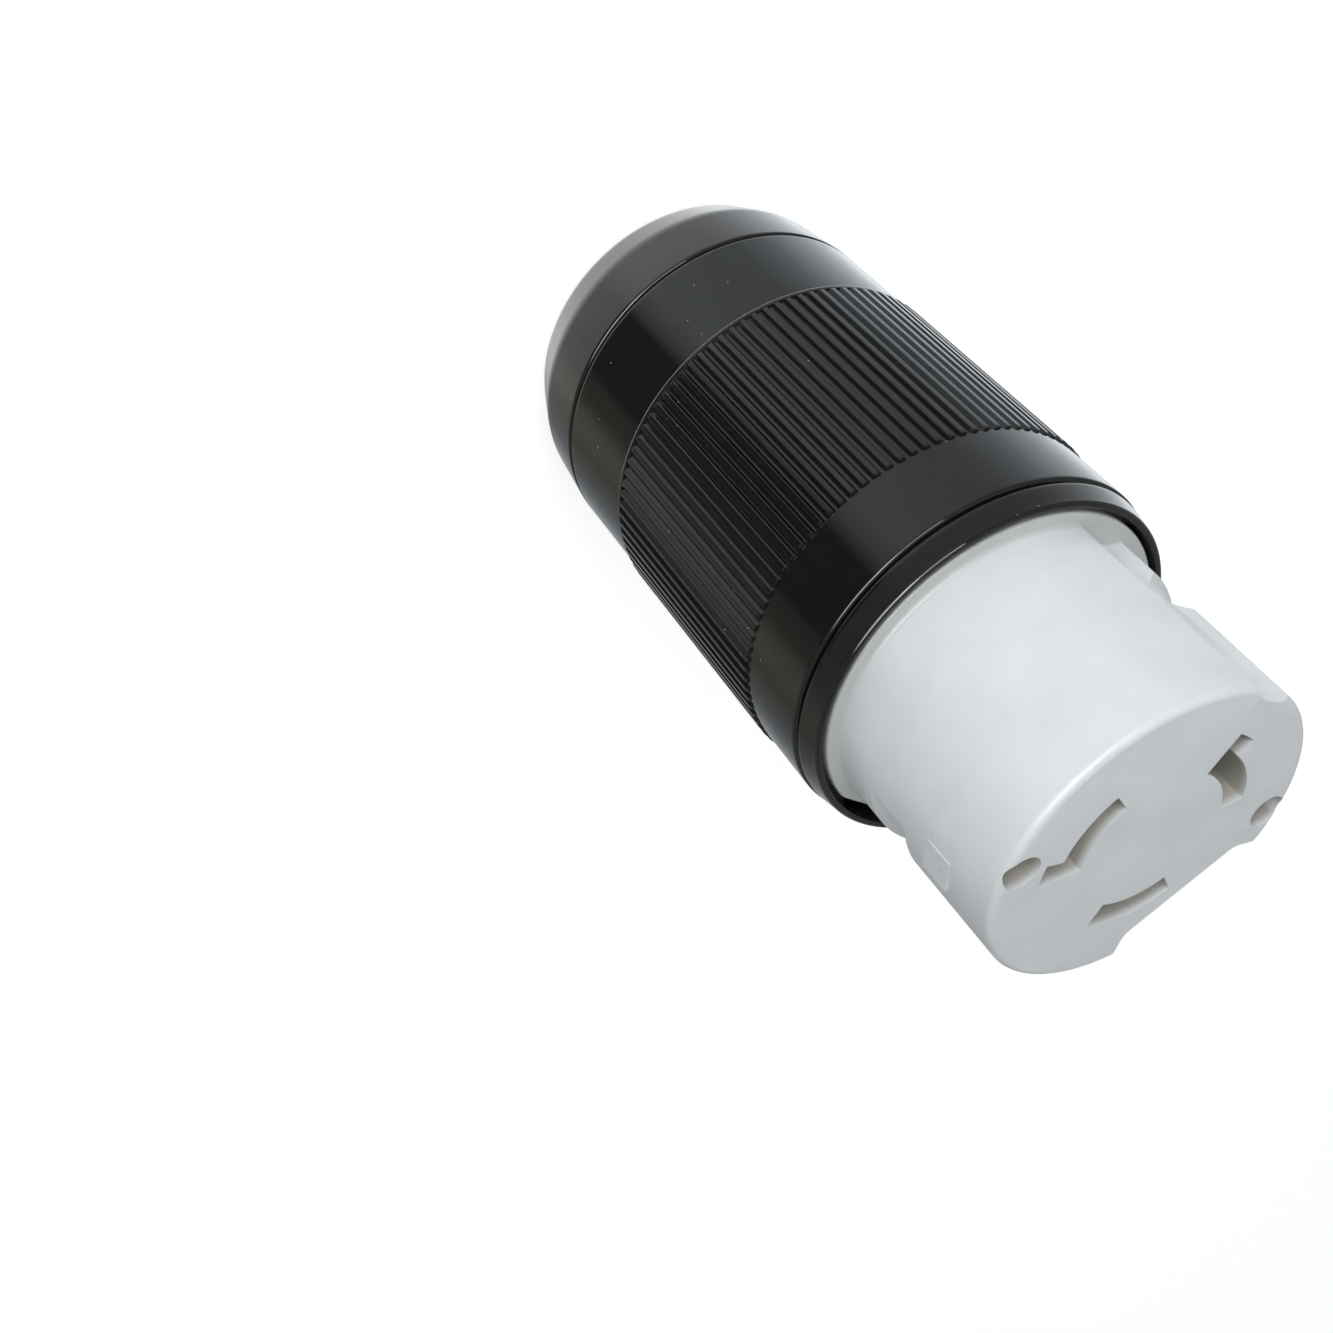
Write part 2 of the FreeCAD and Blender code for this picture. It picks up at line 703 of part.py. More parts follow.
def makeEarthTerminal():
    body = makeBody("earth_terminal")
    block = makeSketch(body, "XY_Plane", height=terminalBottom)
    addBox(block, vec((earthInner + earthOuter) / 2, 0), 0, v.earth_thickness, v.earth_width)
    pad(body, block, v.terminal_height, "Sizes.terminal_height")
    wire = makeSketch(body, "XY_Plane", height=terminalTop)
    addCircle(wire, vec(earthInner + v.wire_hole_wall + v.earth_wire_radius, 0),
              v.earth_wire_radius, "Sizes.earth_wire_radius")
    pocket(body, wire, v.terminal_height, expression="Sizes.terminal_height")
    thread = makeSketch(body, "YZ_Plane")
    thread.AttachmentOffset = FreeCAD.Placement(vec(0, 0, earthOuter), FreeCAD.Rotation())
    addCircle(thread, vec(0, terminalBottom + v.terminal_height / 2),
              v.earth_screw_radius + v.thread_clearance)
    pocket(body, thread, v.earth_thickness - v.wire_hole_wall - v.earth_wire_radius)
    turnAbout(body, "Sizes.recess_azimuth")
    return body


def makeEarthScrew():
    length = springOuter - earthOuter + v.earth_thickness - v.wire_hole_wall - 2 * v.earth_wire_radius
    body = makeScrew("earth_screw", v.earth_screw_radius, length, v.earth_head_radius, v.earth_head_height)
    height = vec(0, 0, terminalBottom + v.terminal_height / 2)
    place(body, polar(springOuter, v.recess_azimuth) + height, polar(1, v.recess_azimuth))
    return body


def makeAssemblyScrew(name, side):
    length = screwSeat - carrierRear + screwGrip
    body = makeScrew(name, v.screw_radius, length, v.screw_head_radius, v.screw_head_height)
    place(body, vec(side * screwOffset, 0, screwSeat), vec(0, 0, 1))
    return body


def makeJaw(name, side):
    """One clamp jaw: drawn closed against the arms, then set open by its travel."""
    body = makeBody(name)
    start = side * v.arm_thickness / 2
    outline = makeSketch(body, "XY_Plane", height=clampBottom)
    bite, outer = v.clamp_bore_radius, clampOuter
    flat = bite * math.tan(math.pi / 8)
    wide = math.sqrt(outer ** 2 - start ** 2)
    addLoop(outline, [
        (wide, start),
        ((0, side * outer), (-wide, start)),
        (-bite, start),
        (-bite, side * flat),
        (-flat, side * bite),
        (flat, side * bite),
        (bite, side * flat),
        (bite, start),
    ])
    pad(body, outline, v.clamp_length, "Sizes.clamp_length")

    seats = makeSketch(body, "XY_Plane", height=clampTop)
    seatWidth = 2 * v.clamp_head_radius + 2 * v.slide_clearance
    inner = clampScrewOffset - seatWidth / 2
    for flip in (1, -1):
        addLoop(seats, [
            (flip * inner, side * v.clamp_seat),
            (flip * outer, side * v.clamp_seat),
            (flip * outer, side * outer),
            (flip * inner, side * outer),
        ])
    pocket(body, seats, v.clamp_length, expression="Sizes.clamp_length")

    bores = makeSketch(body, "XZ_Plane")
    for flip in (1, -1):
        addCircle(bores, vec(flip * clampScrewOffset, v.clamp_height),
                  v.clamp_screw_radius + v.slide_clearance)
    feature(body, "Pocket", bores, Type="ThroughAll", Midplane=True)

    teeth = makeSketch(body, "YZ_Plane")
    count = int(v.clamp_tooth_count)
    for step in range(count):
        middle = clampBottom + v.clamp_length * (step + 0.5) / count
        addLoop(teeth, [
            (side * (bite - v.clamp_tooth_depth), middle - v.clamp_tooth_width),
            (side * (bite + v.clamp_tooth_depth), middle),
            (side * (bite - v.clamp_tooth_depth), middle + v.clamp_tooth_width),
        ])
    feature(body, "Pocket", teeth, Length=2 * flat, Midplane=True)
    body.Placement = FreeCAD.Placement(vec(0, side * v.clamp_travel, 0), FreeCAD.Rotation())
    body.setExpression("Placement.Base.y", f"{side} * Sizes.clamp_travel")
    return body


def makeClampScrew(name, side):
    length = 2 * (v.clamp_seat + v.clamp_travel) + v.clamp_nut_height / 2
    body = makeScrew(name, v.clamp_screw_radius, length, v.clamp_head_radius, v.clamp_head_height)
    seat = v.clamp_seat + v.clamp_travel
    place(body, vec(side * clampScrewOffset, seat, v.clamp_height), vec(0, 1, 0))
    return body


def makeClampNut(name, side):
    body = makeBody(name)
    outline = makeSketch(body, "XY_Plane")
    addBox(outline, vec(0, 0), 0, v.clamp_nut_width, v.clamp_nut_width)
    addCircle(outline, vec(0, 0), v.clamp_screw_radius + v.thread_clearance)
    pad(body, outline, v.clamp_nut_height, "Sizes.clamp_nut_height")
    seat = v.clamp_seat + v.clamp_travel
    place(body, vec(side * clampScrewOffset, -seat, v.clamp_height), vec(0, -1, 0))
    return body


pieces = [makeHousing(), makeHousingTail(), makeContactBody(), makeCarrier()]
for poleName in slotAzimuths:
    pieces += [makeContact(poleName), makeTerminal(poleName), makeTerminalScrew(poleName)]
pieces += [makeEarthSpring(), makeEarthTerminal(), makeEarthScrew()]
pieces += [makeJaw("clamp_jaw_upper", 1), makeJaw("clamp_jaw_lower", -1)]
for sideName, sideSign in (("left", -1), ("right", 1)):
    pieces.append(makeAssemblyScrew("assembly_screw_" + sideName, sideSign))
    pieces.append(makeClampScrew("clamp_screw_" + sideName, sideSign))
    pieces.append(makeClampNut("clamp_nut_" + sideName, sideSign))
doc.recompute()

failed = [item.Name for item in doc.Objects if {"Invalid", "Error"} & set(item.State)]
for item in doc.Objects:
    if item.TypeId in ("PartDesign::Pocket", "PartDesign::Groove"):
        if item.Shape.Volume >= item.BaseFeature.Shape.Volume:
            failed.append(item.Name + " cuts nothing")
if failed:
    raise RuntimeError("objects that failed: " + ", ".join(failed))
for piece in pieces:
    shape = piece.Shape
    if shape.isNull() or not shape.isValid() or len(shape.Solids) != 1:
        raise RuntimeError(f"{piece.Label} has no single valid solid")
    shape.exportStep(f"parts/{piece.Label}.step")
    print(f"{piece.Label}: {shape.Volume:.0f} cubic millimetres")
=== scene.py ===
import json
import math

import bmesh
import bpy
from mathutils import Matrix, Vector


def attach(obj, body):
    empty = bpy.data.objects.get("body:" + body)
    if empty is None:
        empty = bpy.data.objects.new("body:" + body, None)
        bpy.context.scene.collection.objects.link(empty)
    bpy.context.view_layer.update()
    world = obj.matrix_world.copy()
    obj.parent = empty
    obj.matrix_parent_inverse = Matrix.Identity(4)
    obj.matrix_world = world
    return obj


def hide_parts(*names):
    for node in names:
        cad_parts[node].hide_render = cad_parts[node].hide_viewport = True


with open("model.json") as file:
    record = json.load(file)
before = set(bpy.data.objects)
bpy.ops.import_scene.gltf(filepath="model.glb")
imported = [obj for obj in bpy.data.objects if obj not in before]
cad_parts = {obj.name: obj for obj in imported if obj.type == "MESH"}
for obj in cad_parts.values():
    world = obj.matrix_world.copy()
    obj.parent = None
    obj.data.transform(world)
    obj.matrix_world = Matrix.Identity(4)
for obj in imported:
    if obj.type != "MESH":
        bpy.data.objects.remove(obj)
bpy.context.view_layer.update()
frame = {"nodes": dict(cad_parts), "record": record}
scene = bpy.context.scene
mm = 0.001
white = (1.0, 1.0, 1.0, 1.0)
print("frame loaded:", len(frame["nodes"]), "nodes")

# Shared mesh helpers

# edges past this many degrees stay sharp
sharpAngle = {"made": 30.0, "barrel": 35.0, "eased": 38.0}


# A point in metres, from a radius and height in millimetres and an azimuth in degrees
def polar(radius, azimuth, height=0.0):
    turn = math.radians(azimuth)
    return Vector((radius * math.cos(turn), radius * math.sin(turn), height)) * mm


def addPiece(name, verts, faces):
    mesh = bpy.data.meshes.new(name)
    mesh.from_pydata([tuple(point) for point in verts], [], faces)
    mesh.validate()
    mesh.update()
    piece = bpy.data.objects.new(name, mesh)
    scene.collection.objects.link(piece)
    smoothPiece(piece, sharpAngle["made"])
    return piece


def smoothPiece(piece, angle):
    mesh = piece.data
    mesh.polygons.foreach_set("use_smooth", [True] * len(mesh.polygons))
    mesh.set_sharp_from_angle(angle=math.radians(angle))


def setMaterial(piece, material):
    piece.data.materials.clear()
    piece.data.materials.append(material)


# Camera: the fitted place and roll of the photograph's camera

camera = {
    "place": (-163.95, 133.13, 226.94),
    "right": (0.85192, 0.23393, 0.46852),
    "up": (0.12805, 0.77446, -0.61952),
    "back": (-0.50777, 0.58778, 0.62983),
    "lens": 45.43, "sensor": 36.0, "nearest": 0.01, "farthest": 20.0,
}


def makeCamera():
    data = bpy.data.cameras.new("photoCamera")
    data.lens = camera["lens"]
    data.sensor_width = camera["sensor"]
    data.clip_start = camera["nearest"]
    data.clip_end = camera["farthest"]
    item = bpy.data.objects.new("photoCamera", data)
    scene.collection.objects.link(item)
    axes = [Vector(camera[key]).normalized() for key in ("right", "up", "back")]
    place = Matrix.Translation(Vector(camera["place"]) * mm)
    item.matrix_world = place @ Matrix(axes).transposed().to_4x4()
    scene.camera = item


makeCamera()
print("camera set")

# Materials


class Maker:
    # adds, fills and joins the shader nodes of a material or a world, with one line each

    def __init__(self, owner):
        owner.use_nodes = True
        self.tree = owner.node_tree
        self.shader = self.tree.nodes.get("Principled BSDF")

    def join(self, source, target):
        self.tree.links.new(source, target)

    # Each value goes to the input or the setting of its name, and an output is joined to it
    def fill(self, node, **values):
        for key, value in values.items():
            if key not in node.inputs:
                setattr(node, key, value)
            elif isinstance(value, bpy.types.NodeSocket):
                self.join(value, node.inputs[key])
            else:
                node.inputs[key].default_value = value
        return node

    def add(self, kind, **values):
        return self.fill(self.tree.nodes.new("ShaderNode" + kind), **values)

    # A sum on one or two terms, each an output or a plain number
    def reckon(self, operation, *terms):
        node = self.add("Math", operation=operation)
        for socket, term in zip(node.inputs, terms):
            if isinstance(term, float):
                socket.default_value = term
            else:
                self.join(term, socket)
        return node.outputs[0]

    def reckonVector(self, operation, first, second=(0.0, 0.0, 0.0)):
        node = self.add("VectorMath", operation=operation, Vector=first)
        node.inputs[1].default_value = second
        return node.outputs["Vector" if operation == "MULTIPLY" else "Value"]

    # Maps a value's stretch from start to end onto the stretch from low to high
    def spread(self, value, start, end, low=0.0, high=1.0, smooth=False):
        ends = {"From Min": start, "From Max": end, "To Min": low, "To Max": high}
        node = self.add("MapRange", Value=value, **ends)
        if smooth:
            node.interpolation_type = "SMOOTHSTEP"
        return node.outputs["Result"]

    def ramp(self, factor, stops):
        node = self.add("ValToRGB", Fac=factor)
        elements = node.color_ramp.elements
        while len(elements) < len(stops):
            elements.new(0.5)
        for element, (position, colour) in zip(elements, stops):
            element.position = position
            element.color = (*(colour if isinstance(colour, tuple) else [colour] * 3), 1.0)
        return node.outputs["Color"]

    # Object coordinates in millimetres
    def place(self):
        coordinates = self.add("TexCoord").outputs["Object"]
        mapping = self.add("Mapping", Vector=coordinates, Scale=(1 / mm, 1 / mm, 1 / mm))
        return mapping.outputs["Vector"]

    def noise(self, scale, detail=3.0, roughness=0.5):
        looks = {"Scale": scale, "Detail": detail, "Roughness": roughness}
        return self.add("TexNoise", Vector=self.place(), **looks).outputs["Fac"]

    # Noise from a low to a high number or colour
    def mottle(self, scale, low, high, detail=4.0, roughness=0.5, ends=(0.3, 0.7)):
        return self.ramp(self.noise(scale, detail, roughness), list(zip(ends, (low, high))))

    # Rare small spots: 1 on a spot and 0 elsewhere, on a share of the cells of a grid
    def specks(self, scale, size, share):
        cells = self.add("TexVoronoi", Vector=self.place(), Scale=scale).outputs
        draw = self.add("SeparateColor", Color=cells["Color"]).outputs[0]
        near = self.ramp(cells["Distance"], [(size * 0.6, 1.0), (size, 0.0)])
        rare = self.ramp(draw, [(share, 1.0), (share + 0.01, 0.0)])
        return self.reckon("MULTIPLY", near, rare)

    def blend(self, factor, first, second):
        node = self.add("Mix", data_type="RGBA")
        colours = [socket for socket in node.inputs if socket.type == "RGBA"]
        self.join(factor, node.inputs[0])
        self.join(first, colours[0])
        colours[1].default_value = (*second, 1.0)
        return [socket for socket in node.outputs if socket.type == "RGBA"][0]

    def mixShaders(self, factor, first, second):
        node = self.add("MixShader", Fac=factor)
        self.join(first, node.inputs[1])
        self.join(second, node.inputs[2])
        return node.outputs[0]

    # Colour, gloss and small waves of the surface
    def dress(self, tone, gloss, height, strength, depth):
        bump = self.add("Bump", Height=height, Strength=strength, Distance=depth)
        looks = {"Base Color": tone, "Roughness": gloss, "Normal": bump.outputs["Normal"]}
        self.fill(self.shader, **looks)


blackLook = {
    "tones": ((0.0028, 0.0031, 0.004), (0.0045, 0.0049, 0.0058)), "toneScale": 0.25,
    "gloss": (0.035, 0.08), "glossScale": 0.6, "glossEnds": (0.3, 0.75),
    "glossDetail": 5.0, "glossGrain": 0.6,
    "dust": {"scale": 0.55, "size": 0.07, "share": 0.12},
    "dustTone": (0.4, 0.4, 0.38), "dustGloss": (0.6, 0.6, 0.6),
    "waveScale": 0.09, "waveDetail": 2.0, "waveStrength": 0.15, "waveDepth": 0.0002,
    "refraction": 1.5,
}


def makeBlackNylon():
    look = blackLook
    material = bpy.data.materials.new("blackNylon")
    make = Maker(material)
    make.fill(make.shader, IOR=look["refraction"])
    dust = make.specks(**look["dust"])
    tone = make.mottle(look["toneScale"], *look["tones"])
    gloss = make.mottle(look["glossScale"], *look["gloss"], look["glossDetail"],
                        look["glossGrain"], look["glossEnds"])
    make.dress(make.blend(dust, tone, look["dustTone"]), make.blend(dust, gloss, look["dustGloss"]),
               make.noise(look["waveScale"], look["waveDetail"]), look["waveStrength"],
               look["waveDepth"])
    return material


whiteLook = {
    "tones": ((0.65, 0.69, 0.71), (0.705, 0.742, 0.76)), "toneScale": 0.12,
    "gloss": (0.32, 0.42), "glossScale": 0.5,
    "specks": {"scale": 0.16, "size": 0.03, "share": 0.2}, "speckTone": (0.34, 0.33, 0.3),
    # painted shade: the moulding is drawn warmer and darker inside the slots and wells, below
    # the face, within a radius, and further out beside the wells
    "slotShadeTone": (0.44, 0.425, 0.385), "slotHeights": (131.35, 130.2), "slotReach": (24.0, 23.7),
    "wellHalf": (3.5, 3.0), "wellReach": 1.5,
    "flangeShadeTone": (0.49, 0.51, 0.51), "flangeHeights": (97.2, 96.5),  # painted shade: the flange and its fillet, low between the lip and the nose, are darkened
    "waveScale": 2.5, "waveStrength": 0.08, "waveDepth": 0.0001, "refraction": 1.5,
    "subsurface": 0.15, "subsurfaceRadius": (0.0012, 0.0012, 0.0013),
}


def makeWhiteNylon():
    look = whiteLook
    material = bpy.data.materials.new("whiteNylon")
    make = Maker(material)
    make.fill(make.shader, IOR=look["refraction"], **{
        "Subsurface Weight": look["subsurface"], "Subsurface Radius": look["subsurfaceRadius"],
        "Subsurface Scale": 1.0})
    tone = make.mottle(look["toneScale"], *look["tones"])
    tone = make.blend(make.specks(**look["specks"]), tone, look["speckTone"])
    spot = make.add("SeparateXYZ", Vector=make.place()).outputs
    radius = make.reckonVector("LENGTH", make.reckonVector("MULTIPLY", make.place(), (1, 1, 0)))
    beside = make.reckon("ABSOLUTE", spot["Y"])
    well = make.spread(beside, *look["wellHalf"], high=look["wellReach"])
    within = make.spread(make.reckon("SUBTRACT", radius, well), *look["slotReach"])
    below = make.spread(spot["Z"], *look["slotHeights"])
    # painted shade, warm and dark, in the slots and wells
    tone = make.blend(make.reckon("MULTIPLY", below, within), tone, look["slotShadeTone"])
    # painted shade on the flange and on the fillet above it
    foot = make.spread(spot["Z"], *look["flangeHeights"])
    tone = make.blend(foot, tone, look["flangeShadeTone"])
    make.dress(tone, make.mottle(look["glossScale"], *look["gloss"]),
               make.noise(look["waveScale"]), look["waveStrength"], look["waveDepth"])
    return material


metalLook = {
    "noiseScale": 1.5, "glossRise": 0.15, "glossDetail": 3.0,
    "waveStrength": 0.1, "waveDepth": 0.00005,
}


def makeMetal(name, low, high, gloss):
    look = metalLook
    material = bpy.data.materials.new(name)
    make = Maker(material)
    make.fill(make.shader, Metallic=1.0)
    scale = look["noiseScale"]
    make.dress(make.mottle(scale, low, high),
               make.mottle(2 * scale, gloss, gloss + look["glossRise"], look["glossDetail"]),
               make.noise(4 * scale), look["waveStrength"], look["waveDepth"])
    return material


satinLook = {
    "toneScale": 0.3, "gloss": (0.4, 0.55), "glossScale": 0.8, "glossDetail": 3.0,
    "waveScale": 3.0, "waveStrength": 0.15, "waveDepth": 0.0001,
}


def makeSatinNylon(name, low, high):
    look = satinLook
    material = bpy.data.materials.new(name)
    make = Maker(material)
    make.dress(make.mottle(look["toneScale"], low, high),
               make.mottle(look["glossScale"], *look["gloss"], look["glossDetail"]),
               make.noise(look["waveScale"]), look["waveStrength"], look["waveDepth"])
    return material


materials = {
    "black_nylon": makeBlackNylon(),
    "white_nylon": makeWhiteNylon(),
    "carrier_nylon": makeSatinNylon("carrierNylon", (0.58, 0.60, 0.60), (0.66, 0.67, 0.66)),
    "clamp_nylon": makeSatinNylon("clampNylon", (0.025, 0.025, 0.027), (0.04, 0.04, 0.042)),
    "contact_brass": makeMetal("contactBrass", (0.66, 0.44, 0.16), (0.78, 0.56, 0.24), 0.22),
    "screw_steel": makeMetal("screwSteel", (0.52, 0.52, 0.53), (0.66, 0.66, 0.67), 0.24),
    "earth_green": makeMetal("earthGreen", (0.03, 0.22, 0.07), (0.06, 0.32, 0.1), 0.3),
}
for subpart in frame["record"]["subparts"]:
    node = frame["nodes"][subpart["node"]]
    setMaterial(node, materials[subpart["material_slot"]])
print("materials on the carried-over nodes")

# Carving: closed prisms, rings and lathe work that cut one another


# Points along an arc in millimetres, both ends among them
def arc(radius, start, end, step=1.5, centre=(0.0, 0.0)):
    count = max(2, math.ceil(abs(end - start) / step))
    turns = [math.radians(start + (end - start) * index / count) for index in range(count + 1)]
    return [(centre[0] + radius * math.cos(turn), centre[1] + radius * math.sin(turn))
            for turn in turns]


# A point in metres as (x, y) in millimetres
def inPlane(point):
    return point.x / mm, point.y / mm


# A closed solid from an outline in the plane of the face
def prism(name, outline, low, high):
    count = len(outline)
    verts = [Vector((x, y, z)) * mm for z in (low, high) for x, y in outline]
    faces = [(i, (i + 1) % count, (i + 1) % count + count, i + count) for i in range(count)]
    faces += [tuple(reversed(range(count))), tuple(range(count, 2 * count))]
    return addPiece(name, verts, faces)


# Turns an outline of (radius, height) about the axis, whole or over part of a turn
def lathe(name, profile, segments, start=0.0, span=360.0):
    whole = span >= 360.0
    steps = segments if whole else segments + 1
    verts, faces, rings = [], [], []
    for step in range(steps):
        azimuth = start + span * step / segments
        ring = []
        for radius, height in profile:
            if whole and radius == 0 and step:
                ring.append(rings[0][len(ring)])  # one vertex on the axis serves all the rings
                continue
            ring.append(len(verts))
            verts.append(polar(radius, azimuth, height))
        rings.append(ring)
    count = len(profile)
    for step in range(segments):
        here, there = rings[step], rings[(step + 1) % steps]
        for i in range(count):
            j = (i + 1) % count
            face = list(dict.fromkeys((here[i], there[i], there[j], here[j])))
            if len(face) > 2:
                faces.append(face)
    if not whole:
        faces += [tuple(rings[0]), tuple(reversed(rings[-1]))]
    return addPiece(name, verts, faces)


def turnOutward(piece):
    shape = bmesh.new()
    shape.from_mesh(piece.data)
    bmesh.ops.recalc_face_normals(shape, faces=shape.faces)
    shape.to_mesh(piece.data)
    shape.free()


def bake(piece):
    graph = bpy.context.evaluated_depsgraph_get()
    made = bpy.data.meshes.new_from_object(piece.evaluated_get(graph))
    piece.modifiers.clear()
    piece.data = made


# Cuts the tools out of a piece, or joins them to it, and deletes them
def carve(piece, tools, operation="DIFFERENCE"):
    turnOutward(piece)
    for tool in tools:
        turnOutward(tool)
        modifier = piece.modifiers.new(tool.name, "BOOLEAN")
        modifier.solver = "EXACT"
        modifier.operation = operation
        modifier.object = tool
    bake(piece)
    for tool in tools:
        bpy.data.objects.remove(tool)


# Rounds the edges sharper than an angle, with a width in millimetres
def easeEdges(piece, width, angle, segments=2):
    modifier = piece.modifiers.new("eased", "BEVEL")
    modifier.width = width * mm
    modifier.segments = segments
    modifier.limit_method = "ANGLE"
    modifier.angle_limit = math.radians(angle)
    modifier.harden_normals = False
    bake(piece)
    smoothPiece(piece, sharpAngle["eased"])


# White nose: contact face, slots, recess, bayonet channels, lugs and flange

nose = {
    "top": 131.5, "radius": 25.7, "draft": 0.3, "rim": 1.2, "fillet": 0.7,
    "flangeTop": 96.3, "flangeBottom": 90.3, "flangeRadius": 28.15, "flangeEdge": 0.5,
    "flatAzimuth": 244.0, "flatDistance": 26.5, "flatReach": 40.0, "flatWidth": 60.0,
    "slotInner": 11.7, "slotOuter": 15.7, "slotSpan": 54.0, "legSpan": 12.3, "legRadius": 18.6,
    "slots": {"left": (165.0, True), "right": (43.0, True), "bottom": (284.0, False)},
    "faceThickness": 6.0, "chamberMargin": 0.5, "chamberTurn": 3.0,
    "screwOffset": 22.7, "wellRadius": 2.8, "wellDepth": 32.6, "holeRadius": 2.0,
    "recessAzimuth": -45.0, "recessDistance": 18.5, "recessHalf": 9.87, "recessCorner": 3.0,
    "slitDepth": 0.9, "slitWidth": 10.5,
    "channelAzimuth": 70.0, "channelWidth": 9.0, "channelDepth": 1.6,
    # as (azimuth, span): the second turn opens into the corner that is cut out
    "turns": ((23.0, 47.0), (203.0, 85.0)), "turnSetback": 23.3, "turnWidth": 8.0, "turnDepth": 1.6,
    "lugAzimuth": 195.0, "lugSpan": 12.0, "lugTop": 122.6, "lugLength": 5.2,
    "lugStart": 0.2, "lugRise": 0.75,
    # this easing comes out without width, most likely held back by the bevel's own clamp
    "edge": 0.22, "edgeAngle": 35.0,
    "segments": 288, "turnSegments": 36,
    "beyond": 2.0, "overlap": 1.0, "slotOverlap": 0.2, "slitOverlap": 0.05,
}


def noseProfile():
    top, radius, rim, fillet = nose["top"], nose["radius"], nose["rim"], nose["fillet"]
    flange, edge, bottom = nose["flangeRadius"], nose["flangeEdge"], nose["flangeBottom"]
    foot = radius + nose["draft"]
    rimArc = arc(rim, 0, 90, 15, (radius - rim, top - rim))
    filletArc = arc(fillet, 180, 270, 15, (foot + fillet, nose["flangeTop"] + fillet))
    edgeArc = arc(edge, 0, 90, 22.5, (flange - edge, nose["flangeTop"] - edge))
    return [(0, top), *reversed(rimArc), *filletArc, *reversed(edgeArc),
            (flange, bottom), (0, bottom)]


# A wedge on the nose's side that rises from its start to its end
def makeLug(azimuth):
    radius, rise, end = nose["radius"], nose["lugRise"], azimuth + nose["lugSpan"]
    corners = ((radius - rise, azimuth), (radius + nose["lugStart"], azimuth),
               (radius + rise, end), (radius - rise, end))
    outline = [inPlane(polar(*corner)) for corner in corners]
    return prism("lug", outline, nose["lugTop"] - nose["lugLength"], nose["lugTop"])


# The straight entry channel, and the turns that the plug's lugs take from it
def channelTools(over):
    half, depth = nose["channelWidth"] / 2, nose["channelDepth"]
    chord = nose["radius"] - math.sqrt(nose["radius"] ** 2 - half ** 2)
    rise = depth - chord
    cutter = (half ** 2 + rise ** 2) / (2 * rise)
    middle = inPlane(polar(nose["radius"] - depth + cutter, nose["channelAzimuth"]))
    tools = [prism("channel", arc(cutter, 0, 358, 2, middle), nose["flangeTop"], over)]
    half, depth = nose["turnWidth"] / 2, nose["turnDepth"]
    sweep = (half ** 2 + depth ** 2) / (2 * depth)
    middle = (nose["radius"] - depth + sweep, nose["top"] - nose["turnSetback"])
    ring = arc(sweep, 0, 355, 5, middle)
    return tools + [lathe("turn", ring, nose["turnSegments"], *turn) for turn in nose["turns"]]


# The corner cut out of the rim: a flat floor, two rounded corners and walls at right angles
def recessOutline():
    along = polar(1 / mm, nose["recessAzimuth"]).xy
    across = Vector((-along.y, along.x))
    floor = along * nose["recessDistance"]
    corner = nose["recessCorner"]
    inset = corner * math.tan(math.radians(22.5))
    sides = []
    for side in (1, -1):
        edge = floor + across * (side * nose["recessHalf"])
        centre = edge - across * (side * inset) + along * corner
        bend = [centre + (-along * math.cos(turn) + across * (side * math.sin(turn))) * corner
                for turn in map(math.radians, range(0, 46, 5))]
        wall = edge + (along + across * side).normalized() * nose["radius"]
        sides.append([*bend, wall])
    return [tuple(point) for point in sides[0] + sides[1][::-1]]


def slotOutline(azimuth, leg, margin=0.0, extra=0.0):
    low = azimuth - nose["slotSpan"] / 2 - extra
    high = azimuth + nose["slotSpan"] / 2 + extra
    inner, outer = nose["slotInner"] - margin, nose["slotOuter"] + margin
    outline = arc(outer, low, high)
    if leg:
        legLow = high - nose["legSpan"] - extra
        outline = arc(outer, low, legLow) + arc(nose["legRadius"], legLow, high)
    return outline + arc(inner, high, low)


# Each slot through the face, and the wider chamber behind it
def slotTools(over):
    tools = []
    split = nose["top"] - nose["faceThickness"]
    for azimuth, leg in nose["slots"].values():
        tools.append(prism("slot", slotOutline(azimuth, leg), split - nose["slotOverlap"], over))
        chamber = slotOutline(azimuth, leg, nose["chamberMargin"], nose["chamberTurn"])
        tools.append(prism("chamber", chamber, nose["flangeBottom"] - nose["overlap"], split))
    return tools


# The arcs stay clear of the lathe's seam, where a vertex on it spoils the cut
def wellTools(over):
    tools = []
    floor = nose["top"] - nose["wellDepth"]
    for side in (1, -1):
        place = (side * nose["screwOffset"], 0)
        tools.append(prism("well", arc(nose["wellRadius"], 2, 357, 5, place), floor, over))
        hole = arc(nose["holeRadius"], 3, 353, 10, place)
        tools.append(prism("hole", hole, nose["flangeBottom"] - nose["overlap"],
                           floor + nose["overlap"]))
    return tools


# The flat on the flange, and the slit for the earth spring in the recess
def flatTools():
    floor, over = nose["recessDistance"], nose["slitOverlap"]
    slabs = ((nose["flatAzimuth"], nose["flatDistance"], nose["flatReach"], nose["flatWidth"],
              nose["flangeTop"] + nose["fillet"]),
             (nose["recessAzimuth"], floor - over, floor + nose["slitDepth"] - over,
              nose["slitWidth"], nose["flangeTop"] + nose["overlap"]))
    tools = []
    for azimuth, near, far, width, high in slabs:
        along, across = polar(1 / mm, azimuth).xy, polar(1 / mm, azimuth + 90).xy
        outline = [tuple(along * out + across * (width * side)) for out, side in
                   ((near, -0.5), (far, -0.5), (far, 0.5), (near, 0.5))]
        tools.append(prism("flat", outline, nose["flangeBottom"] - nose["overlap"], high))
    return tools


